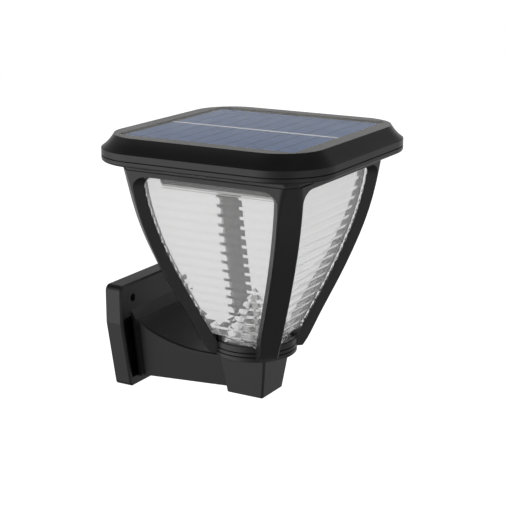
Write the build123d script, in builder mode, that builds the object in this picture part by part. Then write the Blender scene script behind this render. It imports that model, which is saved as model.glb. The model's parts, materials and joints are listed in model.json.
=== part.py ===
"""Solar wall light: square cap with a solar panel, tapering four-post lantern, and a bracket arm that hangs on a wall plate.

Frame: millimetres, +Z up. The origin is on the back face of the wall plate at its middle, the wall is the plane Y = 0,
and the lantern stands in front of it, towards -Y.
"""

import os
from math import sqrt

from build123d import *

os.makedirs("parts", exist_ok=True)

# ---------------------------------------------------------------- driving dimensions
AY = -87.5            # Y of the lantern's vertical axis

# cap
CAP_HALF = 80.0       # half width of the cap
CAP_R = 36.0          # its corner radius
RIM_HALF = 72.0       # half width of the top rim
Z_RIM = 142.0         # top of the rim
Z_COVE = 133.3        # lower edge of the cove
COVE_SAG = 0.65       # how far the cove is hollowed
Z_SEAM_TOP = 129.35   # parting line, upper lip
Z_SEAM_LOW = 128.65   # parting line, lower lip
Z_TRAY = 126.0        # underside of the cap
Z_LIP = 125.3         # drip lip around it
LIP_IN = 76.4
Z_FLOOR = 128.0       # top of the tray floor
CAVITY_LOW = 77.4     # cover cavity, lower part
CAVITY_TOP = 72.5     # cover cavity, upper part
Z_CAVITY_STEP = 132.5
Z_CEILING = 136.8
TONGUE_OUT = 77.2     # upstand of the tray inside the cover
TONGUE_IN = 75.2
Z_TONGUE = 131.8

# solar panel
RECESS_HALF = 62.15
Z_RECESS = 138.8
PANEL_HALF = 61.9
Z_BOARD = 140.2
Z_CELL = 140.45
Z_BUS = 140.6
Z_GLASS = 141.9
CELL_X = 58.7         # half length of a cell strip
CELL_PITCH = 12.0
CELL_W = 11.45
CELL_COUNT = 10
BUS_X = -2.0
BUS_W = 2.8

# driver well under the cap
WELL_HALF = 46.0
WELL_IN = 43.5
Z_WELL = 109.6        # underside of the well
Z_WELL_FLOOR = 112.0
Z_LED_BOARD = 108.0

# lantern: four flat bars set across the corners, each a cubic or quadratic in s = (z - 60) / 66
BAR_OUT = (65.12, 29.82, -9.04, -3.92)   # distance of a bar's outer face from the axis
BAR_WIDTH = (14.27, 1.40, 0.545)
BAR_DEPTH = (7.97, -0.34)                # from the outer face in to the lens
Z_FRAME_TOP = 126.0
Z_POST_END = -4.2
Z_WINDOW = 117.0
RING_GROOVE = (119.9, 121.7)             # shadow groove around the ring, below and above
RING_GROOVE_D = 1.2
WINDOW_R = 8.5
RING_IN = 61.0
RING_IN_R = 24.0
Z_LEDGE = 121.0
LENS_FOOT_R = 24.4     # round foot of the lens, inside the collar
Z_LENS_FOOT = 11.5
LENS_T = 2.0
LENS_GAP = 0.3

# collar
COLLAR_R = 28.0
Z_COLLAR = 4.4
Z_COLLAR_LOW = -6.4
Z_COLLAR_FLOOR = -2.6
GROOVES = (-0.2, -3.0)
GROOVE_W, GROOVE_D = 0.8, 0.8
SPIGOT_R = 11.0
Z_SPIGOT = -20.0

# cone on the lens floor
CONE_R = 21.6
Z_CONE = 33.7

# block and arm
BLOCK_TOP, BLOCK_LOW = 17.5, 13.6
Z_BLOCK_LOW = -34.9
Z_ARM_LOW = -30.7
ARM_TAPER_Y, ARM_TAPER_Z = 0.172, 0.14
Y_FLANGE = -14.7
FLANGE_BACK, FLANGE_FRONT = (34.2, 18.0), (33.0, 11.4)   # half width and height of its upper corner, at the plate and in front
FLANGE_LOW = 26.9

# wall plate
PLATE_T = 12.2
PLATE_HALF = 45.5
PLATE_LOW_HALF = 36.0
Z_PLATE_TOP = 36.5
Z_PLATE_KNEE = 11.0
Z_PLATE_LOW = -36.0
HOLE_X, HOLE_Z, HOLE_R = 32.0, 26.2, 2.7
POCKET_WALL = 2.6
WEB_T = 3.2
LIFT = 5.0            # travel of the lamp on the cleat

# button
BX = 69.0
BUTTON_R = 4.0
BUTTON_TRAVEL = 1.5

# fasteners
CAP_SCREW = 64.5
FRAME_SCREW = 56.0
LED_SCREW = 36.0


# ---------------------------------------------------------------- profile helpers
def series(coefficients, z):
    """A polynomial in the height along the lantern."""
    s = (z - 60.0) / 66.0
    return sum(c * s**i for i, c in enumerate(coefficients))


def bar_out(z):
    """Distance of a bar's outer face from the axis, along the diagonal."""
    return series(BAR_OUT, z)


def bar_width(z):
    return series(BAR_WIDTH, z)


def frame_half(z):
    """Half width of the lantern over the edges of its bars."""
    return (bar_out(z) + bar_width(z) / 2) / sqrt(2)


def edge_radius(z):
    """Rounding of the edges of a bar: small below, growing towards the ring at the top."""
    return 1.1 + 6.0 * max(0.0, (z - 86.0) / 40.0) ** 1.6


def bar_face(z):
    """Outer face of a bar, which keeps leaning outward into the corner of the ring."""
    return bar_out(z) + 0.0045 * (z + 4.2) + 3.1 * max(0.0, (z - 100.0) / 26.0) ** 1.6


def lens_corner(z):
    """Distance of the flat corner of the lens from the axis, behind a bar."""
    return bar_out(z) - series(BAR_DEPTH, z)


def lens_half(z):
    """Half width of the lens where it meets the flanks of the bars."""
    return (lens_corner(z) + bar_width(z) / 2) / sqrt(2)


def octagon(half, corner):
    """Outline of a square with its corners cut off, around the lantern's axis."""
    k = sqrt(2) * corner - half
    pts = [(half, -k), (half, k), (k, half), (-k, half), (-half, k), (-half, -k), (-k, -half), (k, -half), (half, -k)]
    return [(x, AY + y) for x, y in pts]


def spaced(z_low, z_high, count):
    return [z_low + (z_high - z_low) * i / (count - 1) for i in range(count)]


# ---------------------------------------------------------------- cap cover
with BuildPart() as cap_cover:
    with BuildSketch(Plane.XY.offset(Z_SEAM_TOP)):
        with Locations((0, AY)):
            RectangleRounded(2 * CAP_HALF, 2 * CAP_HALF, CAP_R)
    extrude(amount=Z_RIM - Z_SEAM_TOP)
    k = CAP_HALF - CAP_R
    with BuildLine(Plane.XY.offset(Z_COVE)) as rim_path:
        Line((CAP_HALF, AY), (CAP_HALF, AY + k))
        CenterArc((k, AY + k), CAP_R, 0, 90)
        Line((k, AY + CAP_HALF), (-k, AY + CAP_HALF))
        CenterArc((-k, AY + k), CAP_R, 90, 90)
        Line((-CAP_HALF, AY + k), (-CAP_HALF, AY - k))
        CenterArc((-k, AY - k), CAP_R, 180, 90)
        Line((-k, AY - CAP_HALF), (k, AY - CAP_HALF))
        CenterArc((k, AY - k), CAP_R, 270, 90)
        Line((CAP_HALF, AY - k), (CAP_HALF, AY))
    with BuildSketch(Plane.XZ.offset(-AY)) as cove_profile:
        with BuildLine():
            mx, mz = (CAP_HALF + RIM_HALF) / 2, (Z_COVE + Z_RIM) / 2
            run, rise = CAP_HALF - RIM_HALF, Z_RIM - Z_COVE
            span = sqrt(run**2 + rise**2)
            ThreePointArc((CAP_HALF, Z_COVE), (mx - COVE_SAG * rise / span, mz - COVE_SAG * run / span), (RIM_HALF, Z_RIM))
            Polyline((RIM_HALF, Z_RIM), (RIM_HALF, Z_RIM + 2), (CAP_HALF + 3, Z_RIM + 2), (CAP_HALF + 3, Z_COVE), (CAP_HALF, Z_COVE))
        make_face()
    sweep(path=rim_path.wires()[0], mode=Mode.SUBTRACT)
    with BuildSketch(Plane.XY.offset(Z_SEAM_TOP)):
        with Locations((0, AY)):
            RectangleRounded(2 * CAVITY_LOW, 2 * CAVITY_LOW, CAP_R - CAP_HALF + CAVITY_LOW)
    extrude(amount=Z_CAVITY_STEP - Z_SEAM_TOP, mode=Mode.SUBTRACT)
    with BuildSketch(Plane.XY.offset(Z_CAVITY_STEP)):
        with Locations((0, AY)):
            RectangleRounded(2 * CAVITY_TOP, 2 * CAVITY_TOP, CAP_R - CAP_HALF + CAVITY_TOP)
    extrude(amount=Z_CEILING - Z_CAVITY_STEP, mode=Mode.SUBTRACT)
    # recess for the panel, and the hole for its leads
    with BuildSketch(Plane.XY.offset(Z_RECESS)):
        with Locations((0, AY)):
            RectangleRounded(2 * RECESS_HALF, 2 * RECESS_HALF, 2.0)
    extrude(amount=Z_RIM - Z_RECESS, mode=Mode.SUBTRACT)
    with BuildSketch(Plane.XY.offset(Z_CEILING)):
        with Locations((40, AY + 18)):
            Circle(3.2)
    extrude(amount=Z_RECESS - Z_CEILING, mode=Mode.SUBTRACT)
    # screw bosses in the corners
    with BuildSketch(Plane.XY.offset(Z_SEAM_LOW - 0.65)):
        with Locations((0, AY)):
            with GridLocations(2 * CAP_SCREW, 2 * CAP_SCREW, 2, 2):
                Circle(3.8)
    extrude(amount=135.0 - Z_SEAM_LOW + 0.65)
    with BuildSketch(Plane.XY.offset(Z_SEAM_LOW - 0.65)):
        with Locations((0, AY)):
            with GridLocations(2 * CAP_SCREW, 2 * CAP_SCREW, 2, 2):
                Circle(1.3)
    extrude(amount=8.0, mode=Mode.SUBTRACT)
    # posts that carry the control board
    with BuildSketch(Plane.XY.offset(136.2)):
        with Locations((53, AY + 10.5), (53, AY - 21)):
            Circle(2.6)
    extrude(amount=Z_CEILING - 136.2)
    with BuildSketch(Plane.XY.offset(136.2)):
        with Locations((53, AY + 10.5), (53, AY - 21)):
            Circle(1.05)
    extrude(amount=2.0, mode=Mode.SUBTRACT)

# ---------------------------------------------------------------- solar panel stack
with BuildPart() as panel_board:
    with BuildSketch(Plane.XY.offset(Z_RECESS)):
        with Locations((0, AY)):
            RectangleRounded(2 * PANEL_HALF, 2 * PANEL_HALF, 1.8)
    extrude(amount=Z_BOARD - Z_RECESS)

with BuildPart() as panel_cells:
    with BuildSketch(Plane.XY.offset(Z_BOARD)):
        with Locations((0, AY)):
            with GridLocations(1, CELL_PITCH, 1, CELL_COUNT):
                Rectangle(2 * CELL_X, CELL_W)
    extrude(amount=Z_CELL - Z_BOARD)

with BuildPart() as panel_bus:
    with BuildSketch(Plane.XY.offset(Z_CELL)):
        with Locations((BUS_X, AY + 0.4)):
            Rectangle(BUS_W, 121.0)
    extrude(amount=Z_BUS - Z_CELL)

with BuildPart() as panel_glass:
    with BuildSketch(Plane.XY.offset(Z_BUS)):
        with Locations((0, AY)):
            RectangleRounded(2 * PANEL_HALF, 2 * PANEL_HALF, 1.8)
    extrude(amount=Z_GLASS - Z_BUS)

# ---------------------------------------------------------------- cap seal
with BuildPart() as cap_seal:
    with BuildSketch(Plane.XY.offset(Z_SEAM_LOW)):
        with Locations((0, AY)):
            RectangleRounded(2 * 79.1, 2 * 79.1, CAP_R - 0.9)
            RectangleRounded(2 * CAVITY_LOW, 2 * CAVITY_LOW, CAP_R - CAP_HALF + CAVITY_LOW, mode=Mode.SUBTRACT)
    extrude(amount=Z_SEAM_TOP - Z_SEAM_LOW)

# ---------------------------------------------------------------- cap tray with the driver well
with BuildPart() as cap_tray:
    with BuildSketch(Plane.XY.offset(Z_LIP)):
        with Locations((0, AY)):
            RectangleRounded(2 * CAP_HALF, 2 * CAP_HALF, CAP_R)
    extrude(amount=Z_SEAM_LOW - Z_LIP)
    fillet(cap_tray.faces().sort_by(Axis.Z)[0].outer_wire().edges(), radius=1.6)
    with BuildSketch(Plane.XY.offset(Z_LIP)):
        with Locations((0, AY)):
            RectangleRounded(2 * LIP_IN, 2 * LIP_IN, CAP_R - CAP_HALF + LIP_IN)
    extrude(amount=Z_TRAY - Z_LIP, mode=Mode.SUBTRACT)
    with BuildSketch(Plane.XY.offset(Z_SEAM_LOW)):
        with Locations((0, AY)):
            RectangleRounded(2 * TONGUE_OUT, 2 * TONGUE_OUT, CAP_R - CAP_HALF + TONGUE_OUT)
    extrude(amount=Z_TONGUE - Z_SEAM_LOW)
    with BuildSketch(Plane.XY.offset(Z_FLOOR)):
        with Locations((0, AY)):
            RectangleRounded(2 * TONGUE_IN, 2 * TONGUE_IN, CAP_R - CAP_HALF + TONGUE_IN)
    extrude(amount=Z_TONGUE - Z_FLOOR, mode=Mode.SUBTRACT)
    # well hanging into the lantern
    with BuildSketch(Plane.XY.offset(Z_WELL)):
        with Locations((0, AY)):
            RectangleRounded(2 * WELL_HALF, 2 * WELL_HALF, 9.0)
    extrude(amount=Z_FLOOR - Z_WELL)
    with BuildSketch(Plane.XY.offset(Z_WELL_FLOOR)):
        with Locations((0, AY)):
            RectangleRounded(2 * WELL_IN, 2 * WELL_IN, 6.5)
    extrude(amount=Z_FLOOR - Z_WELL_FLOOR + 0.5, mode=Mode.SUBTRACT)
    # cover screws: clearance holes with the heads sunk into the underside; cover bosses reach through the tongue
    with BuildSketch(Plane.XY.offset(Z_TRAY)):
        with Locations((0, AY)):
            with GridLocations(2 * CAP_SCREW, 2 * CAP_SCREW, 2, 2):
                Circle(1.65)
    extrude(amount=8.0, mode=Mode.SUBTRACT)
    with BuildSketch(Plane.XY.offset(Z_FLOOR)):
        with Locations((0, AY)):
            with GridLocations(2 * CAP_SCREW, 2 * CAP_SCREW, 2, 2):
                Circle(4.1)
    extrude(amount=Z_TONGUE - Z_FLOOR, mode=Mode.SUBTRACT)
    with BuildSketch(Plane.XY.offset(Z_TRAY)):
        with Locations((0, AY)):
            with GridLocations(2 * CAP_SCREW, 2 * CAP_SCREW, 2, 2):
                Circle(3.1)
    extrude(amount=1.1, mode=Mode.SUBTRACT)
    # frame screws, from inside the cap
    with BuildSketch(Plane.XY.offset(Z_TRAY)):
        with Locations((0, AY)):
            with GridLocations(2 * FRAME_SCREW, 2 * FRAME_SCREW, 2, 2):
                Circle(1.65)
    extrude(amount=Z_FLOOR - Z_TRAY, mode=Mode.SUBTRACT)
    # led board screws and lead hole in the floor of the well
    with BuildSketch(Plane.XY.offset(Z_WELL)):
        with Locations((0, AY)):
            with GridLocations(2 * LED_SCREW, 2 * LED_SCREW, 2, 2):
                Circle(1.25)
        with Locations((38, AY - 18)):
            Circle(2.6)
    extrude(amount=Z_WELL_FLOOR - Z_WELL, mode=Mode.SUBTRACT)
    # hole for the push button
    with BuildSketch(Plane.XY.offset(Z_TRAY)):
        with Locations((BX, AY)):
            Circle(BUTTON_R + 0.05)
    extrude(amount=Z_FLOOR - Z_TRAY, mode=Mode.SUBTRACT)

# ---------------------------------------------------------------- lantern frame
# space between two neighbouring bars: a wedge that opens away from the axis
with BuildPart() as window:
    for z in (-14.0, Z_WINDOW):
        tip = bar_width(z) / sqrt(2)
        with BuildSketch(Plane.XY.offset(z)):
            with BuildLine():
                Polyline((-tip, AY), (-tip - 90, AY - 90), (-tip - 90, AY + 90), (-tip, AY))
            make_face()
    loft(ruled=True)
    flanks = window.edges().filter_by(lambda e: e.center().Z > Z_WINDOW - 0.1 and abs(e.center().Y - AY) > 1.0)
    fillet(flanks, radius=WINDOW_R)

# space inside the bars, a little larger than the lens
with BuildPart() as lens_space:
    for z in spaced(Z_COLLAR_FLOOR, Z_LEDGE, 6):
        with BuildSketch(Plane.XY.offset(z)):
            with BuildLine():
                Polyline(*octagon(lens_half(z) + LENS_GAP, lens_corner(z) + LENS_GAP))
            make_face()
    loft()
    with BuildSketch(Plane.XY.offset(Z_COLLAR_FLOOR)):
        with Locations((0, AY)):
            Circle(LENS_FOOT_R + LENS_GAP)
    extrude(amount=Z_LENS_FOOT - Z_COLLAR_FLOOR)

with BuildPart() as lantern_frame:
    for z in (Z_POST_END, 20.0, 44.0, 68.0, 86.0, 97.0, 107.0, 117.0, Z_FRAME_TOP):
        with BuildSketch(Plane.XY.offset(z)) as outline:
            with BuildLine():
                Polyline(*octagon(frame_half(z), bar_face(z)))
            make_face()
            fillet(outline.vertices(), radius=edge_radius(z))
    loft()
    for turn in range(4):
        add(window.part.rotate(Axis((0, AY, 0), (0, 0, 1)), 90 * turn), mode=Mode.SUBTRACT)
    # shadow groove around the ring
    with BuildSketch(Plane.XY.offset(RING_GROOVE[0])):
        for side, mode in ((5.0, Mode.ADD), (-RING_GROOVE_D, Mode.SUBTRACT)):
            with BuildLine():
                Polyline(*octagon(frame_half(RING_GROOVE[1]) + side, bar_face(RING_GROOVE[1]) + side))
            make_face(mode=mode)
    extrude(amount=RING_GROOVE[1] - RING_GROOVE[0], mode=Mode.SUBTRACT)
    # stepped collar
    with BuildSketch(Plane.XZ.offset(-AY)):
        with BuildLine():
            g = GROOVE_W / 2
            Polyline(
                (0, Z_COLLAR), (COLLAR_R - 0.5, Z_COLLAR), (COLLAR_R, Z_COLLAR - 0.5),
                (COLLAR_R, GROOVES[0] + g), (COLLAR_R - GROOVE_D, GROOVES[0]), (COLLAR_R, GROOVES[0] - g),
                (COLLAR_R, GROOVES[1] + g), (COLLAR_R - GROOVE_D, GROOVES[1]), (COLLAR_R, GROOVES[1] - g),
                (COLLAR_R, Z_COLLAR_LOW + 0.6), (COLLAR_R - 0.6, Z_COLLAR_LOW), (SPIGOT_R, Z_COLLAR_LOW),
                (SPIGOT_R, Z_SPIGOT + 0.6), (SPIGOT_R - 0.6, Z_SPIGOT), (0, Z_SPIGOT), (0, Z_COLLAR),
            )
        make_face()
    revolve(axis=Axis((0, AY, 0), (0, 0, 1)))
    add(lens_space.part, mode=Mode.SUBTRACT)
    # seat for the lens flange and its seal
    with BuildSketch(Plane.XY.offset(Z_LEDGE)):
        with Locations((0, AY)):
            RectangleRounded(2 * RING_IN, 2 * RING_IN, RING_IN_R)
    extrude(amount=Z_FRAME_TOP - Z_LEDGE, mode=Mode.SUBTRACT)
    # pilot holes: frame screws above, neck screw below
    with BuildSketch(Plane.XY.offset(Z_FRAME_TOP - 10.5)):
        with Locations((0, AY)):
            with GridLocations(2 * FRAME_SCREW, 2 * FRAME_SCREW, 2, 2):
                Circle(1.3)
    extrude(amount=10.5, mode=Mode.SUBTRACT)
    with BuildSketch(Plane.XY.offset(Z_SPIGOT)):
        with Locations((0, AY)):
            Circle(2.05)
    extrude(amount=12.5, mode=Mode.SUBTRACT)

# ---------------------------------------------------------------- lens, its seal and the cone on its floor
Z_LENS_LOW = Z_COLLAR_FLOOR + 0.2
Z_LENS_FLOOR = Z_LENS_LOW + LENS_T
with BuildPart() as lens_hollow:
    for z in spaced(Z_LENS_FLOOR, Z_LEDGE + 2.0, 6):
        with BuildSketch(Plane.XY.offset(z)):
            with BuildLine():
                Polyline(*octagon(lens_half(z) - LENS_T, lens_corner(z) - LENS_T))
            make_face()
    loft()
    with BuildSketch(Plane.XY.offset(Z_LENS_FLOOR)):
        with Locations((0, AY)):
            Circle(LENS_FOOT_R - LENS_T)
    extrude(amount=Z_LENS_FOOT - LENS_T - Z_LENS_FLOOR)

with BuildPart() as lens:
    for z in spaced(Z_LENS_LOW, Z_LEDGE + 2.0, 6):
        with BuildSketch(Plane.XY.offset(z)):
            with BuildLine():
                Polyline(*octagon(lens_half(z), lens_corner(z)))
            make_face()
    loft()
    with BuildSketch(Plane.XY.offset(Z_LENS_LOW)):
        with Locations((0, AY)):
            Circle(LENS_FOOT_R)
    extrude(amount=Z_LENS_FOOT - LENS_GAP - Z_LENS_LOW)
    with BuildSketch(Plane.XY.offset(Z_LEDGE)):
        with Locations((0, AY)):
            RectangleRounded(2 * (RING_IN - 0.3), 2 * (RING_IN - 0.3), RING_IN_R - 0.3)
    extrude(amount=2.0)
    add(lens_hollow.part, mode=Mode.SUBTRACT)

with BuildPart() as lens_seal:
    with BuildSketch(Plane.XY.offset(Z_LEDGE + 2.0)):
        with Locations((0, AY)):
            RectangleRounded(2 * (RING_IN - 0.3), 2 * (RING_IN - 0.3), RING_IN_R - 0.3)
            RectangleRounded(2 * (RING_IN - 4.6), 2 * (RING_IN - 4.6), 19.4, mode=Mode.SUBTRACT)
    extrude(amount=Z_FRAME_TOP - Z_LEDGE - 2.0)

with BuildPart() as light_cone:
    with BuildSketch(Plane.XZ.offset(-AY)):
        with BuildLine():
            Polyline((0, Z_LENS_FLOOR), (CONE_R, Z_LENS_FLOOR), (CONE_R, Z_LENS_FLOOR + 1.0), (1.0, Z_CONE - 0.6), (0, Z_CONE), (0, Z_LENS_FLOOR))
        make_face()
    revolve(axis=Axis((0, AY, 0), (0, 0, 1)))

# ---------------------------------------------------------------- bracket arm with the block under the collar
def arm_half(y, z):
    """Half width of the arm: flat sides that taper along the arm and draft towards its underside."""
    return 13.5 + ARM_TAPER_Y * (y + 73.5) + ARM_TAPER_Z * (z + 30.6)


ARM_TOP = [
    (-12.2, 18.0), (-13.2, 14.4), (-14.7, 11.0), (-16.6, 8.3), (-19.1, 5.9), (-22.3, 3.6), (-25.6, 1.75), (-32.4, -1.48), (-39.35, -3.9),
    (-46.3, -5.8), (-53.6, -7.0), (-60.6, -7.6), (-67.6, -8.0), (-78.0, -8.3),
]
Y_ARM_END = -78.0

with BuildPart() as arm_sides:
    for y in (-PLATE_T, Y_ARM_END):
        with BuildSketch(Plane.XZ.offset(-y)):
            with BuildLine():
                lo, hi = arm_half(y, Z_ARM_LOW), arm_half(y, 22.0)
                Polyline((-lo, Z_ARM_LOW), (lo, Z_ARM_LOW), (hi, 22.0), (-hi, 22.0), (-lo, Z_ARM_LOW))
            make_face()
    loft(ruled=True)

with BuildPart() as bracket_arm:
    with BuildSketch(Plane.YZ):
        with BuildLine():
            Spline(*ARM_TOP, tangents=((-0.24, -0.97), (-1, -0.02)))
            Polyline(ARM_TOP[-1], (Y_ARM_END, Z_ARM_LOW), (-PLATE_T, Z_ARM_LOW), ARM_TOP[0])
        make_face()
    extrude(amount=45, both=True)
    add(arm_sides.part, mode=Mode.INTERSECT)
    top_edges = bracket_arm.edges().filter_by(
        lambda e: e.length > 60 and e.center().Z > -10 and abs(e.center().X) > 10
    )
    fillet(top_edges, radius=1.3)
    # root flange against the wall plate, its top falling forward with the arm
    for y, (half, top) in ((-PLATE_T, FLANGE_BACK), (Y_FLANGE, FLANGE_FRONT)):
        with BuildSketch(Plane.XZ.offset(-y)):
            with BuildLine():
                Polyline((-FLANGE_LOW, Z_ARM_LOW), (FLANGE_LOW, Z_ARM_LOW), (half, top), (-half, top), (-FLANGE_LOW, Z_ARM_LOW))
            make_face()
    loft(ruled=True)
    # tapered block under the collar
    for z, half in ((Z_COLLAR_LOW, BLOCK_TOP), (Z_BLOCK_LOW, BLOCK_LOW)):
        with BuildSketch(Plane.XY.offset(z)):
            with Locations((0, AY)):
                RectangleRounded(2 * half, 2 * half, 1.5)
    loft(ruled=True)
    fillet(bracket_arm.faces().sort_by(Axis.Z)[0].edges(), radius=1.0)
    # hook on the back of the root, which drops behind the lip of the wall plate
    with BuildSketch(Plane.YZ):
        with BuildLine():
            Polyline((-14.0, -6.0), (-14.0, -12.35), (-7.1, -12.35), (-7.1, -16.7), (-3.7, -16.7), (-3.7, -6.0), (-14.0, -6.0))
        make_face()
    extrude(amount=19, both=True)
    # socket for the spigot of the lantern, and the neck screw from below
    with BuildSketch(Plane.XY.offset(Z_SPIGOT - 0.5)):
        with Locations((0, AY)):
            Circle(SPIGOT_R + 0.1)
    extrude(amount=Z_COLLAR_LOW - Z_SPIGOT + 0.5, mode=Mode.SUBTRACT)
    with BuildSketch(Plane.XY.offset(Z_BLOCK_LOW)):
        with Locations((0, AY)):
            Circle(2.3)
    extrude(amount=Z_SPIGOT - Z_BLOCK_LOW, mode=Mode.SUBTRACT)
    with BuildSketch(Plane.XY.offset(Z_BLOCK_LOW)):
        with Locations((0, AY)):
            Circle(4.6)
    extrude(amount=4.5, mode=Mode.SUBTRACT)

# ---------------------------------------------------------------- wall plate
def plate_edge(z):
    """Half width of the plate at a height: upright down to the knee, then tapering."""
    if z >= Z_PLATE_KNEE:
        return PLATE_HALF
    return PLATE_HALF + (PLATE_LOW_HALF - PLATE_HALF) * (Z_PLATE_KNEE - z) / (Z_PLATE_KNEE - Z_PLATE_LOW)


Z_POCKET_LOW, Z_POCKET_TOP = -29.5, 14.0
with BuildPart() as wall_plate:
    with BuildSketch(Plane.XZ) as plate_outline:
        with BuildLine():
            Polyline(
                (-PLATE_LOW_HALF, Z_PLATE_LOW), (PLATE_LOW_HALF, Z_PLATE_LOW), (PLATE_HALF, Z_PLATE_KNEE), (PLATE_HALF, Z_PLATE_TOP),
                (-PLATE_HALF, Z_PLATE_TOP), (-PLATE_HALF, Z_PLATE_KNEE), (-PLATE_LOW_HALF, Z_PLATE_LOW),
            )
        make_face()
        fillet(plate_outline.vertices().group_by(Axis.Z)[-1], radius=4.0)
        fillet(plate_outline.vertices().group_by(Axis.Z)[0], radius=1.5)
    extrude(amount=PLATE_T)
    chamfer(wall_plate.faces().sort_by(Axis.Y)[0].outer_wire().edges(), length=1.2)
    # pocket in the front, reached by the hook of the arm
    with BuildSketch(Plane.XZ.offset(PLATE_T)):
        with BuildLine():
            lo = plate_edge(Z_POCKET_LOW) - POCKET_WALL
            hi = plate_edge(Z_PLATE_KNEE) - POCKET_WALL
            Polyline(
                (-lo, Z_POCKET_LOW), (lo, Z_POCKET_LOW), (hi, Z_PLATE_KNEE), (hi, Z_POCKET_TOP), (-hi, Z_POCKET_TOP),
                (-hi, Z_PLATE_KNEE), (-lo, Z_POCKET_LOW),
            )
        make_face()
    extrude(amount=-(PLATE_T - WEB_T), mode=Mode.SUBTRACT)
    # ramp at the head of the pocket
    with BuildSketch(Plane.YZ):
        with BuildLine():
            Polyline((-WEB_T, 6.5), (-WEB_T, Z_POCKET_TOP), (-PLATE_T, Z_POCKET_TOP), (-WEB_T, 6.5))
        make_face()
    extrude(amount=PLATE_HALF - POCKET_WALL, both=True)
    # cleat: a shelf with an upturned lip
    with BuildSketch(Plane.YZ):
        with BuildLine():
            Polyline((-WEB_T, -22.0), (-10.0, -22.0), (-10.0, -12.4), (-7.4, -12.4), (-7.4, -17.0), (-WEB_T, -17.0), (-WEB_T, -22.0))
        make_face()
    extrude(amount=20.5, both=True)
    # wall screw holes
    with BuildSketch(Plane.XZ):
        with Locations((HOLE_X, HOLE_Z), (-HOLE_X, HOLE_Z)):
            Circle(HOLE_R)
    extrude(amount=PLATE_T, mode=Mode.SUBTRACT)

# ---------------------------------------------------------------- push button, spring and switch
with BuildPart() as button_cap:
    with BuildSketch(Plane.XZ.offset(-AY)):
        with BuildLine():
            Polyline(
                (BX, 124.4), (BX + 3.3, 124.4), (BX + BUTTON_R, 125.1), (BX + BUTTON_R, 128.05), (BX + 5.3, 128.05), (BX + 5.3, 128.85),
                (BX + 1.5, 128.85), (BX + 1.5, 130.7), (BX, 130.7), (BX, 124.4),
            )
        make_face()
    revolve(axis=Axis((BX, AY, 0), (0, 0, 1)))

with BuildPart() as switch_body:
    with BuildSketch(Plane.XY.offset(132.3)):
        with Locations((BX, AY)):
            RectangleRounded(5.8, 5.8, 0.6)
    extrude(amount=2.3)

SPRING_R, SPRING_WIRE = 2.45, 0.22
with BuildPart() as button_spring:
    with BuildLine(Plane((BX, AY, 128.85 + SPRING_WIRE + 0.02))) as spring_path:
        Helix(pitch=0.74, height=2.96, radius=SPRING_R)
    with BuildSketch(Plane(spring_path.line @ 0, z_dir=spring_path.line % 0)):
        Circle(SPRING_WIRE)
    sweep(path=spring_path.line, is_frenet=True)

# ---------------------------------------------------------------- control board
with BuildPart() as control_board:
    with BuildSketch(Plane.XY.offset(134.6)):
        with Locations((60.0, AY)):
            RectangleRounded(23.6, 48.0, 1.5)
        with Locations((53, AY + 10.5), (53, AY - 21)):
            Circle(1.2, mode=Mode.SUBTRACT)
    extrude(amount=1.6)

with BuildPart() as board_parts:
    # connectors for the panel, battery and led leads
    with BuildSketch(Plane.XY.offset(129.9)):
        with Locations((52.0, AY + 18.0), (52.0, AY - 4.5)):
            Rectangle(6.0, 7.6)
        with Locations((52.0, AY - 15.0)):
            Rectangle(6.0, 6.4)
    extrude(amount=4.7)
    # chip, inductor and capacitor
    with BuildSketch(Plane.XY.offset(133.0)):
        with Locations((60.0, AY + 12.0)):
            Rectangle(5.0, 6.0)
    extrude(amount=1.6)
    with BuildSketch(Plane.XY.offset(131.4)):
        with Locations((61.0, AY - 12.0)):
            RectangleRounded(7.0, 7.0, 1.4)
    extrude(amount=3.2)
    with BuildSketch(Plane.XY.offset(129.6)):
        with Locations((65.5, AY + 18.0)):
            Circle(3.1)
    extrude(amount=5.0)

with BuildPart() as board_screws:
    with BuildSketch(Plane.XY.offset(133.2)):
        with Locations((53, AY + 10.5), (53, AY - 21)):
            Circle(1.9)
    extrude(amount=1.4)
    with BuildSketch(Plane.XY.offset(134.6)):
        with Locations((53, AY + 10.5), (53, AY - 21)):
            Circle(1.0)
    extrude(amount=3.4)

# ---------------------------------------------------------------- battery
BAT_R, BAT_HALF, BAT_Z = 9.2, 32.5, 122.1
with BuildPart() as battery:
    with BuildSketch(Plane.YZ.offset(-BAT_HALF)):
        with Locations((AY, BAT_Z)):
            Circle(BAT_R)
    extrude(amount=2 * BAT_HALF - 1.2)
    fillet(battery.edges(), radius=0.6)
    with BuildSketch(Plane.YZ.offset(BAT_HALF - 1.2)):
        with Locations((AY, BAT_Z)):
            Circle(3.4)
    extrude(amount=1.2)

with BuildPart() as battery_holder:
    with BuildSketch(Plane.XY.offset(Z_WELL_FLOOR)):
        with Locations((0, AY)):
            RectangleRounded(76.0, 24.0, 1.2)
    extrude(amount=12.8)
    with BuildSketch(Plane.XY.offset(Z_WELL_FLOOR + 0.8)):
        with Locations((0, AY)):
            Rectangle(72.6, 20.8)
    extrude(amount=12.0, mode=Mode.SUBTRACT)

with BuildPart() as battery_contacts:
    for side in (-1, 1):
        with BuildSketch(Plane.XY.offset(Z_WELL_FLOOR + 0.8)):
            with Locations((side * 36.0, AY - 2.0)):
                Rectangle(0.6, 12.0)
        extrude(amount=13.4)
        with BuildSketch(Plane.YZ.offset(side * 35.7)):
            with Locations((AY, BAT_Z)):
                Circle(3.0)
        extrude(amount=-side * 3.2)

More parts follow.
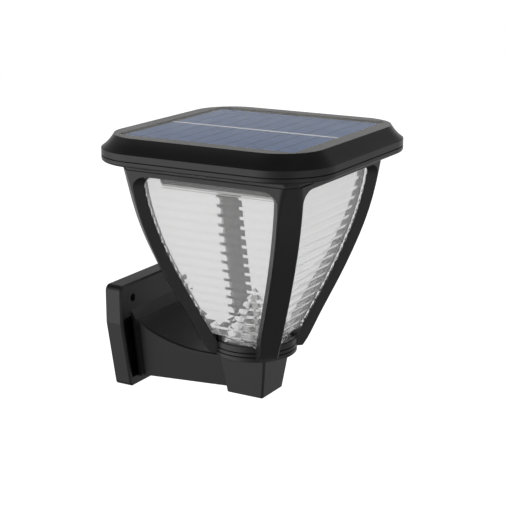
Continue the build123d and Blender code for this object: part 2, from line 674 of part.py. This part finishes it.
# ---------------------------------------------------------------- led board under the well
with BuildPart() as led_board:
    with BuildSketch(Plane.XY.offset(Z_LED_BOARD)):
        with Locations((0, AY)):
            RectangleRounded(2 * 45.4, 2 * 45.4, 8.4)
            with GridLocations(2 * LED_SCREW, 2 * LED_SCREW, 2, 2):
                Circle(1.4, mode=Mode.SUBTRACT)
    extrude(amount=Z_WELL - Z_LED_BOARD)

with BuildPart() as leds:
    with BuildSketch(Plane.XY.offset(Z_LED_BOARD - 0.8)):
        with Locations((0, AY)):
            with GridLocations(20.0, 20.0, 4, 4):
                Rectangle(3.5, 2.8)
    extrude(amount=0.8)

with BuildPart() as led_screws:
    with BuildSketch(Plane.XY.offset(Z_LED_BOARD - 1.4)):
        with Locations((0, AY)):
            with GridLocations(2 * LED_SCREW, 2 * LED_SCREW, 2, 2):
                Circle(2.4)
    extrude(amount=1.4)
    with BuildSketch(Plane.XY.offset(Z_LED_BOARD)):
        with Locations((0, AY)):
            with GridLocations(2 * LED_SCREW, 2 * LED_SCREW, 2, 2):
                Circle(1.15)
    extrude(amount=3.6)

# ---------------------------------------------------------------- leads
LEAD_R = 0.7
PANEL_ROUTES = [((40, AY + y, Z_RECESS), (40, AY + y, 132.0), (49, AY + y, 132.0)) for y in (16.8, 19.2)]
BATTERY_ROUTES = [
    ((-36.0, AY - 6.5, 126.2), (-36.0, AY - 6.5, 133.0), (49, AY - 6.5, 133.0)),
    ((36.0, AY - 3.0, 126.2), (36.0, AY - 3.0, 131.6), (49, AY - 3.0, 131.6)),
]
LED_ROUTES = [((38, AY + y, Z_WELL), (38, AY + y, 132.0), (49, AY + y, 132.0)) for y in (-16.8, -19.0)]
with BuildPart() as panel_leads:
    for route in PANEL_ROUTES:
        with BuildLine() as lead_path:
            FilletPolyline(*route, radius=4.0)
        with BuildSketch(Plane(lead_path.line @ 0, z_dir=lead_path.line % 0)):
            Circle(LEAD_R)
        sweep(path=lead_path.line)

with BuildPart() as battery_leads:
    for route in BATTERY_ROUTES:
        with BuildLine() as lead_path:
            FilletPolyline(*route, radius=4.0)
        with BuildSketch(Plane(lead_path.line @ 0, z_dir=lead_path.line % 0)):
            Circle(LEAD_R)
        sweep(path=lead_path.line)

with BuildPart() as led_leads:
    for route in LED_ROUTES:
        with BuildLine() as lead_path:
            FilletPolyline(*route, radius=4.0)
        with BuildSketch(Plane(lead_path.line @ 0, z_dir=lead_path.line % 0)):
            Circle(LEAD_R)
        sweep(path=lead_path.line)

# ---------------------------------------------------------------- screws
with BuildPart() as cap_screws:
    with BuildSketch(Plane.XY.offset(Z_TRAY)):
        with Locations((0, AY)):
            with GridLocations(2 * CAP_SCREW, 2 * CAP_SCREW, 2, 2):
                Circle(2.7)
    extrude(amount=1.1)
    with BuildSketch(Plane.XY.offset(Z_TRAY + 1.1)):
        with Locations((0, AY)):
            with GridLocations(2 * CAP_SCREW, 2 * CAP_SCREW, 2, 2):
                Circle(1.25)
    extrude(amount=8.2)
    # cross recess in each head
    with BuildSketch(Plane.XY.offset(Z_TRAY)):
        with Locations((0, AY)):
            with GridLocations(2 * CAP_SCREW, 2 * CAP_SCREW, 2, 2):
                Rectangle(3.2, 0.7)
                Rectangle(0.7, 3.2)
    extrude(amount=0.6, mode=Mode.SUBTRACT)

with BuildPart() as frame_screws:
    with BuildSketch(Plane.XY.offset(Z_FLOOR)):
        with Locations((0, AY)):
            with GridLocations(2 * FRAME_SCREW, 2 * FRAME_SCREW, 2, 2):
                Circle(2.7)
    extrude(amount=1.8)
    with BuildSketch(Plane.XY.offset(Z_FLOOR - 11.5)):
        with Locations((0, AY)):
            with GridLocations(2 * FRAME_SCREW, 2 * FRAME_SCREW, 2, 2):
                Circle(1.25)
    extrude(amount=11.5)

with BuildPart() as neck_screw:
    with BuildSketch(Plane.XY.offset(Z_BLOCK_LOW + 1.3)):
        with Locations((0, AY)):
            Circle(4.2)
    extrude(amount=3.2)
    with BuildSketch(Plane.XY.offset(Z_BLOCK_LOW + 4.5)):
        with Locations((0, AY)):
            Circle(2.0)
    extrude(amount=20.0)
    with BuildSketch(Plane.XY.offset(Z_BLOCK_LOW + 1.3)):
        with Locations((0, AY)):
            Rectangle(5.2, 1.0)
            Rectangle(1.0, 5.2)
    extrude(amount=1.2, mode=Mode.SUBTRACT)

# ---------------------------------------------------------------- labels and files
pieces = {
    "cap_cover": cap_cover, "panel_board": panel_board, "panel_cells": panel_cells, "panel_bus": panel_bus, "panel_glass": panel_glass,
    "cap_seal": cap_seal, "cap_tray": cap_tray, "lantern_frame": lantern_frame, "lens": lens, "lens_seal": lens_seal,
    "light_cone": light_cone, "bracket_arm": bracket_arm, "wall_plate": wall_plate, "button_cap": button_cap,
    "button_spring": button_spring, "switch_body": switch_body, "control_board": control_board, "board_parts": board_parts,
    "board_screws": board_screws, "battery": battery, "battery_holder": battery_holder, "battery_contacts": battery_contacts,
    "led_board": led_board, "leds": leds, "led_screws": led_screws, "panel_leads": panel_leads, "battery_leads": battery_leads,
    "led_leads": led_leads, "cap_screws": cap_screws, "frame_screws": frame_screws, "neck_screw": neck_screw,
}
for name, piece in pieces.items():
    piece.part.label = name
    export_step(piece.part, f"parts/{name}.step")
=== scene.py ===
import json
import math

import bmesh
import bpy
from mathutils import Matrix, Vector


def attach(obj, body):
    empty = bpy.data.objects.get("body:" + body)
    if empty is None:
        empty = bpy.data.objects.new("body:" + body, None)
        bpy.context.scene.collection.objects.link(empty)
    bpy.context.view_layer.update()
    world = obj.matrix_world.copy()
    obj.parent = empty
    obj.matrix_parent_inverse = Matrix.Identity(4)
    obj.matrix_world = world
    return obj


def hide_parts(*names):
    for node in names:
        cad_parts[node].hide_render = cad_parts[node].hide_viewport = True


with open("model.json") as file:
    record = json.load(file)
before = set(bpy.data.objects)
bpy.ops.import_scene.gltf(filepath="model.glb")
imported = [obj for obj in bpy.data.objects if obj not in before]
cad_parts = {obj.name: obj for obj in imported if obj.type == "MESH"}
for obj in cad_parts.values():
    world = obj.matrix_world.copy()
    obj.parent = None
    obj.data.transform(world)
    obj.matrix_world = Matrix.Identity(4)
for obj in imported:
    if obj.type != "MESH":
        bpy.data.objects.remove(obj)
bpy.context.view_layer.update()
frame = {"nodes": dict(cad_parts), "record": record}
nodes = frame["nodes"]
scene = bpy.context.scene
scene.view_settings.view_transform = "Standard"
scene.view_settings.look = "None"
scene.cycles.use_denoising = True
scene.cycles.max_bounces = 24
scene.cycles.transmission_bounces = 20
scene.cycles.transparent_max_bounces = 16
scene.cycles.glossy_bounces = 8

AY = -0.0875  # the lantern's axis
MM = 0.001


# ------------------------------------------------------------------ camera
cam_data = bpy.data.cameras.new("camera")
cam = bpy.data.objects.new("camera", cam_data)
scene.collection.objects.link(cam)
cam_data.sensor_width = 36.0
cam_data.sensor_fit = "HORIZONTAL"
cam_data.lens = 95.59
cam_data.clip_start = 0.01
cam_data.clip_end = 50.0
cam.location = (-0.7300, -0.5101, 0.2867)
cam.rotation_euler = (math.radians(90 - 15.053), 0.0, math.radians(-59.827))
scene.camera = cam


# ------------------------------------------------------------------ node helpers
def new_material(name):
    m = bpy.data.materials.new(name)
    m.use_nodes = True
    nt = m.node_tree
    return m, nt, nt.nodes["Principled BSDF"]


def node(nt, kind, **values):
    n = nt.nodes.new(kind)
    for key, value in values.items():
        if hasattr(n, key):
            setattr(n, key, value)
        else:
            n.inputs[key].default_value = value
    return n


def ramp(nt, source, stops, interpolation="LINEAR"):
    r = nt.nodes.new("ShaderNodeValToRGB")
    r.color_ramp.interpolation = interpolation
    els = r.color_ramp.elements
    while len(els) > len(stops):
        els.remove(els[-1])
    while len(els) < len(stops):
        els.new(0.5)
    for e, (p, c) in zip(els, stops):
        e.position = p
        e.color = (c, c, c, 1) if isinstance(c, (int, float)) else (*c, 1)
    nt.links.new(source, r.inputs[0])
    return r.outputs[0]


def math_node(nt, op, a, b=None):
    n = nt.nodes.new("ShaderNodeMath")
    n.operation = op
    for i, v in enumerate((a, b)):
        if v is None:
            continue
        if isinstance(v, (int, float)):
            n.inputs[i].default_value = v
        else:
            nt.links.new(v, n.inputs[i])
    return n.outputs[0]


# ------------------------------------------------------------------ world: a soft studio, bright at the sides, dark above and below
world = bpy.data.worlds.new("studio")
scene.world = world
world.use_nodes = True
wt = world.node_tree
bg = wt.nodes["Background"]
coord = wt.nodes.new("ShaderNodeTexCoord")
sep = wt.nodes.new("ShaderNodeSeparateXYZ")
wt.links.new(coord.outputs["Generated"], sep.inputs[0])
neg_x = math_node(wt, "MULTIPLY", sep.outputs[0], -1.0)
neg_y = math_node(wt, "MULTIPLY", sep.outputs[1], -1.0)
azimuth = math_node(wt, "ARCTAN2", neg_y, neg_x)
az01 = math_node(wt, "ADD", math_node(wt, "DIVIDE", azimuth, 2 * math.pi), 0.5)
el01 = math_node(wt, "ADD", math_node(wt, "MULTIPLY", sep.outputs[2], 0.5), 0.5)
# a large soft box on the left, level with the lamp, and a dim room that is darkest behind the camera
BOX_AZ = [(-180, 0.0), (-95, 0.0), (-62, 1.35), (-30, 1.45), (-10, 1.1), (6, 0.3), (18, 0.0), (180, 0.0)]
BOX_EL = [(-1.0, 0.0), (-0.85, 0.08), (-0.75, 0.2), (-0.62, 0.4), (-0.5, 0.62), (-0.35, 0.92), (-0.26, 1.0), (0.0, 1.0), (0.3, 0.7), (0.5, 0.3), (0.7, 0.05), (1.0, 0.0)]
ROOM_AZ = [(-180, 0.75), (-130, 0.75), (-75, 0.15), (-30, 0.12), (6, 0.20), (18, 0.28), (42, 0.28), (56, 0.58), (70, 0.70), (90, 0.60), (120, 0.43), (150, 0.37), (180, 0.75)]
ROOM_EL = [(-1.0, 0.25), (-0.8, 0.35), (-0.6, 0.55), (-0.45, 0.9), (-0.3, 1.0), (0.0, 1.0), (0.12, 1.0), (0.165, 0.82), (0.19, 0.66), (0.26, 0.5), (0.5, 0.3), (0.8, 0.2), (1.0, 0.2)]
THROUGH = 0.86  # what shows through the clear pieces: the same pale studio all round


def lamp_light(az_stops, el_stops):
    return math_node(wt, "MULTIPLY", ramp(wt, az01, [((a + 180) / 360, v) for a, v in az_stops]), ramp(wt, el01, [((e + 1) / 2, v) for e, v in el_stops]))


light = math_node(wt, "ADD", lamp_light(BOX_AZ, BOX_EL), lamp_light(ROOM_AZ, ROOM_EL))
path = wt.nodes.new("ShaderNodeLightPath")


def float_mix(fac, a, b):
    m = wt.nodes.new("ShaderNodeMix")
    m.data_type = "FLOAT"
    wt.links.new(fac, m.inputs[0])
    wt.links.new(a, m.inputs[2])
    m.inputs[3].default_value = b
    return m.outputs[0]


through = math_node(wt, "GREATER_THAN", path.outputs["Transmission Depth"], 0.5)
strength = float_mix(path.outputs["Is Camera Ray"], float_mix(through, light, THROUGH), 1.0)
wt.links.new(strength, bg.inputs["Strength"])
bg.inputs["Color"].default_value = (1, 1, 1, 1)


# ------------------------------------------------------------------ floor
floor_mesh = bpy.data.meshes.new("floor")
bm = bmesh.new()
bmesh.ops.create_grid(bm, x_segments=4, y_segments=4, size=6.0)
bm.to_mesh(floor_mesh)
bm.free()
floor = bpy.data.objects.new("floor", floor_mesh)
scene.collection.objects.link(floor)
floor.location = (0, 0, -0.9)
floor_mat, nt, p = new_material("floor_pale")
p.inputs["Base Color"].default_value = (0.9, 0.9, 0.9, 1)
p.inputs["Roughness"].default_value = 0.9
p.inputs["Emission Color"].default_value = (1, 1, 1, 1)
p.inputs["Emission Strength"].default_value = 1.0
floor_mesh.materials.append(floor_mat)
floor.visible_diffuse = floor.visible_glossy = floor.visible_transmission = floor.visible_shadow = False


# ------------------------------------------------------------------ materials
def black_plastic(name, base=0.016, rough=0.36, grain=0.05, top=None):
    """Moulded black plastic with a fine grain; above the height `top` the surface is smoother, and its colour is
    painted paler and warmer as a painted highlight.
    """
    m, nt, p = new_material(name)
    tc = nt.nodes.new("ShaderNodeTexCoord")
    fine = node(nt, "ShaderNodeTexNoise", Scale=2600.0, Detail=3.0, Roughness=0.6)
    broad = node(nt, "ShaderNodeTexNoise", Scale=35.0, Detail=4.0, Roughness=0.55)
    for n in (fine, broad):
        nt.links.new(tc.outputs["Object"], n.inputs["Vector"])
    color = ramp(nt, broad.outputs["Fac"], [(0.3, (base * 0.95, base * 0.95, base * 0.96)), (0.7, (base * 1.05, base * 1.05, base * 1.04))])
    roughness = ramp(nt, broad.outputs["Fac"], [(0.3, rough - 0.02), (0.7, rough + 0.02)])
    if top is not None:
        z = nt.nodes.new("ShaderNodeSeparateXYZ")
        nt.links.new(tc.outputs["Object"], z.inputs[0])
        mask = math_node(nt, "GREATER_THAN", z.outputs[2], top)
        # painted highlight: above `top` the black colour is lifted paler and warmer
        top_highlight = node(nt, "ShaderNodeMix", data_type="RGBA")
        nt.links.new(mask, top_highlight.inputs[0])
        nt.links.new(color, top_highlight.inputs[6])
        top_highlight.inputs[7].default_value = (base * 2.2, base * 1.9, base * 1.5, 1)
        color = top_highlight.outputs[2]
        roughness = math_node(nt, "ADD", roughness, math_node(nt, "MULTIPLY", mask, -0.12))
        # the wall of the panel's recess, painted pale on the black plastic as a painted highlight, which shows through
        # the edge of the clear cover
        across = math_node(nt, "ABSOLUTE", z.outputs[0])
        along = math_node(nt, "ABSOLUTE", math_node(nt, "SUBTRACT", z.outputs[1], AY))
        wall = math_node(nt, "MULTIPLY", math_node(nt, "LESS_THAN", math_node(nt, "MAXIMUM", across, along), 0.0624), math_node(nt, "GREATER_THAN", z.outputs[2], 0.1386))
        pale = node(nt, "ShaderNodeMix", data_type="RGBA")
        nt.links.new(wall, pale.inputs[0])
        nt.links.new(color, pale.inputs[6])
        pale.inputs[7].default_value = (0.22, 0.215, 0.20, 1)
        color = pale.outputs[2]
    nt.links.new(color, p.inputs["Base Color"])
    nt.links.new(roughness, p.inputs["Roughness"])
    b = node(nt, "ShaderNodeBump", Strength=grain, Distance=0.0004)
    nt.links.new(fine.outputs["Fac"], b.inputs["Height"])
    nt.links.new(b.outputs[0], p.inputs["Normal"])
    return m


def plain(name, color, rough, metallic=0.0, scale=400.0, amount=0.12):
    m, nt, p = new_material(name)
    tc = nt.nodes.new("ShaderNodeTexCoord")
    n = node(nt, "ShaderNodeTexNoise", Scale=scale, Detail=3.0)
    nt.links.new(tc.outputs["Object"], n.inputs["Vector"])
    lo = tuple(c * (1 - amount) for c in color)
    hi = tuple(min(1.0, c * (1 + amount)) for c in color)
    nt.links.new(ramp(nt, n.outputs["Fac"], [(0.3, lo), (0.7, hi)]), p.inputs["Base Color"])
    nt.links.new(ramp(nt, n.outputs["Fac"], [(0.3, max(0.02, rough - 0.05)), (0.7, rough + 0.05)]), p.inputs["Roughness"])
    p.inputs["Metallic"].default_value = metallic
    return m


def solar_cell(name):
    """Blue silicon with fine pale fingers along the strips and a faint change of tone from strip to strip."""
    m, nt, p = new_material(name)
    tc = nt.nodes.new("ShaderNodeTexCoord")
    s = nt.nodes.new("ShaderNodeSeparateXYZ")
    nt.links.new(tc.outputs["Object"], s.inputs[0])
    fingers = math_node(nt, "SINE", math_node(nt, "MULTIPLY", s.outputs[1], 2 * math.pi / 0.0020))
    grain = node(nt, "ShaderNodeTexNoise", Scale=120.0, Detail=3.0)
    nt.links.new(tc.outputs["Object"], grain.inputs["Vector"])
    tone = math_node(nt, "ADD", math_node(nt, "MULTIPLY", fingers, 0.10), grain.outputs["Fac"])
    nt.links.new(ramp(nt, tone, [(0.25, (0.022, 0.070, 0.20)), (0.75, (0.038, 0.100, 0.26))]), p.inputs["Base Color"])
    p.inputs["Metallic"].default_value = 1.0
    p.inputs["Roughness"].default_value = 0.32
    p.inputs["Specular Tint"].default_value = (0.48, 0.54, 0.64, 1)
    return m


def panel_backing(name):
    """Dark laminate behind the cells, with a grey border round them."""
    m, nt, p = new_material(name)
    tc = nt.nodes.new("ShaderNodeTexCoord")
    s = nt.nodes.new("ShaderNodeSeparateXYZ")
    nt.links.new(tc.outputs["Object"], s.inputs[0])
    past_x = math_node(nt, "GREATER_THAN", math_node(nt, "ABSOLUTE", s.outputs[0]), 0.0587)
    past_y = math_node(nt, "GREATER_THAN", math_node(nt, "ABSOLUTE", math_node(nt, "SUBTRACT", s.outputs[1], AY)), 0.0600)
    border = math_node(nt, "MAXIMUM", past_x, past_y)
    nt.links.new(ramp(nt, border, [(0.0, (0.030, 0.035, 0.050)), (1.0, (0.105, 0.102, 0.095))]), p.inputs["Base Color"])
    p.inputs["Roughness"].default_value = 0.5
    return m


def clear(name, rough=0.02, ior=1.49, color=(1, 1, 1), through=1.0):
    """Clear moulded plastic with a very slight unevenness."""
    m, nt, p = new_material(name)
    tc = nt.nodes.new("ShaderNodeTexCoord")
    n = node(nt, "ShaderNodeTexNoise", Scale=60.0, Detail=2.0)
    nt.links.new(tc.outputs["Object"], n.inputs["Vector"])
    nt.links.new(ramp(nt, n.outputs["Fac"], [(0.3, rough * 0.6), (0.7, rough * 1.4)]), p.inputs["Roughness"])
    p.inputs["Base Color"].default_value = (*color, 1)
    p.inputs["Transmission Weight"].default_value = through
    p.inputs["IOR"].default_value = ior
    return m


MAT = {
    "black_plastic": black_plastic("black_plastic"),
    "solar_cell": solar_cell("solar_cell"),
    "tinned_ribbon": plain("tinned_ribbon", (0.64, 0.64, 0.64), 0.35, 0.5, amount=0.04),
    "panel_clear": clear("panel_clear", 0.08, 1.045),
    "board_dark": plain("board_dark", (0.03, 0.035, 0.05), 0.5),
    "board_green": plain("board_green", (0.03, 0.18, 0.07), 0.4),
    "board_white": plain("board_white", (0.8, 0.8, 0.78), 0.4, amount=0.04),
    "led_yellow": plain("led_yellow", (0.85, 0.7, 0.2), 0.3),
    "lens_clear": clear("lens_clear", 0.03, 1.22, through=0.87),
    "reflector_bright": plain("reflector_bright", (0.93, 0.93, 0.93), 0.12, 1.0, amount=0.02),
    "seal_rubber": plain("seal_rubber", (0.012, 0.012, 0.012), 0.8),
    "button_rubber": plain("button_rubber", (0.04, 0.04, 0.045), 0.6),
    "steel": plain("steel", (0.6, 0.6, 0.6), 0.35, 1.0),
    "battery_wrap": plain("battery_wrap", (0.05, 0.12, 0.4), 0.3),
    "lead_red": plain("lead_red", (0.5, 0.03, 0.03), 0.4),
}
OWN = {"cap_cover": black_plastic("black_plastic_cap", top=0.1417), "panel_board": panel_backing("board_dark_panel")}
slots = {s["node"]: s["material_slot"] for s in frame["record"]["subparts"]}
for name, obj in nodes.items():
    obj.data.materials.clear()
    obj.data.materials.append(OWN.get(name, MAT[slots[name]]))


nodes["wall_plate"].visible_transmission = False


# ------------------------------------------------------------------ ribbed lens
# the same curves as the lantern's bars, in millimetres
def series(c, z):
    s = (z - 60.0) / 66.0
    return sum(v * s**i for i, v in enumerate(c))


def lens_corner(z):
    return series((65.12, 29.82, -9.04, -3.92), z) - series((7.97, -0.34), z)


def lens_half(z):
    return (lens_corner(z) + series((14.27, 1.40, 0.545), z) / 2) / math.sqrt(2)


SIDE_SEG, CORNER_SEG = 12, 4


def square_ring(half, corner, z):
    """Points around a square with its corners cut off."""
    k = math.sqrt(2) * corner - half
    pts = [(half, -k), (half, k), (k, half), (-k, half), (-half, k), (-half, -k), (-k, -half), (k, -half)]
    ring = []
    for i in range(8):
        (ax, ay), (bx, by) = pts[i], pts[(i + 1) % 8]
        n = SIDE_SEG if i % 2 == 0 else CORNER_SEG
        ring += [(ax + (bx - ax) * j / n, ay + (by - ay) * j / n, z) for j in range(n)]
    return ring


def round_ring(radius, z):
    """The same number of points around a circle."""
    return [(radius * x / math.hypot(x, y), radius * y / math.hypot(x, y), z) for x, y, _ in square_ring(1.0, 1.15, z)]


def skin(name, rings, close_first=True, close_last=True, loop=False):
    """A closed mesh from a list of rings, each joined to the next."""
    verts, faces = [], []
    n = len(rings[0])
    for ring in rings:
        verts += [(x * MM, AY + y * MM, z * MM) for x, y, z in ring]
    last = len(rings) if loop else len(rings) - 1
    for r in range(last):
        a, b = r * n, ((r + 1) % len(rings)) * n
        for i in range(n):
            j = (i + 1) % n
            faces.append((a + i, a + j, b + j, b + i))
    if not loop:
        for r, closed in ((0, close_first), (len(rings) - 1, close_last)):
            if closed:
                verts.append((0.0, AY, rings[r][0][2] * MM))
                c = len(verts) - 1
                for i in range(n):
                    j = (i + 1) % n
                    faces.append((r * n + j, r * n + i, c) if r == 0 else (r * n + i, r * n + j, c))
    mesh = bpy.data.meshes.new(name)
    mesh.from_pydata(verts, [], faces)
    bm = bmesh.new()
    bm.from_mesh(mesh)
    bmesh.ops.recalc_face_normals(bm, faces=bm.faces)
    bm.to_mesh(mesh)
    bm.free()
    obj = bpy.data.objects.new(name, mesh)
    scene.collection.objects.link(obj)
    return obj


RIB_PITCH, RIB_PHASE, LEDGE = 6.312, 33.72, 2.3
WALL = 2.6  # from the outer curve to the smooth inside
Z_TOP, Z_FLANGE, Z_FOOT, Z_LOW, Z_FLOOR = 123.0, 121.0, 5.6, -2.3, -0.4


def lean(curve, z):
    """How far a band of the lens leans outward, a little less than the wall as a whole."""
    return max(0.0, (curve(z + 2.0) - curve(z - 2.0)) / 4.0 - 0.10) * 0.75


ledges = [RIB_PHASE + RIB_PITCH * m for m in range(13, -5, -1)]
outer = [(60.4, 75.4, Z_TOP), (60.4, 75.4, Z_FLANGE)]
z_above = Z_FLANGE
for zc in ledges:
    zu, zl = zc + LEDGE / 2, zc - LEDGE / 2
    h, k = lens_half(zu), lens_corner(zu)
    lh, lk = lean(lens_half, zu + 2.4), lean(lens_corner, zu + 2.4)
    outer += [(h + lh * (z_above - zu), k + lk * (z_above - zu), z_above), (h, k, zu)]
    z_above = zl
rings_out = [square_ring(h, k, z) for h, k, z in outer]
rings_in = [square_ring(lens_half(z) - WALL, lens_corner(z) - WALL, z) for z in [Z_TOP] + [Z_FLANGE - 4.0 * i for i in range(29)]]
z_last = z_above
rings_out += [round_ring(24.1, z_last - 0.4), round_ring(24.1, Z_LOW + 0.6), round_ring(23.5, Z_LOW)]
rings_in += [round_ring(22.1, Z_FOOT), round_ring(22.1, Z_FLOOR)]
lens = skin("lens_ribbed", rings_in[::-1] + rings_out, True, True)
lens.data.materials.append(MAT["lens_clear"])
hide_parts("lens")
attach(lens, "lamp")


# ------------------------------------------------------------------ stepped cone on the floor of the lens
def cone_rings():
    z, r, top = -0.4, 21.6, 33.6
    steps = 8
    out = []
    for i in range(steps):
        z0 = z + (top - z) * i / steps
        z1 = z + (top - z) * (i + 1) / steps
        r0 = r * (1 - i / steps)
        r1 = r * (1 - (i + 1) / steps)
        out += [(r0, z0), (r0 - 0.1, z0 + (z1 - z0) * 0.42), (r1 + 0.15, z1)]
    return [round_ring(max(0.25, a), b) for a, b in out]


cone = skin("cone_stepped", cone_rings(), True, True)
cone.data.materials.append(MAT["reflector_bright"])
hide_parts("light_cone")
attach(cone, "lamp")


# ------------------------------------------------------------------ ribbon across the cells, just under the clear cover
ribbon_mesh = bpy.data.meshes.new("bus_ribbon")
bm = bmesh.new()
bmesh.ops.create_cube(bm, size=1.0)
bmesh.ops.scale(bm, vec=(2.8 * MM, 121.0 * MM, 0.08 * MM), verts=bm.verts)
bmesh.ops.translate(bm, vec=(-2.0 * MM, AY + 0.4 * MM, 140.51 * MM), verts=bm.verts)
bm.to_mesh(ribbon_mesh)
bm.free()
ribbon = bpy.data.objects.new("bus_ribbon", ribbon_mesh)
scene.collection.objects.link(ribbon)
ribbon_mesh.materials.append(MAT["tinned_ribbon"])
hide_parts("panel_bus")
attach(ribbon, "lamp")
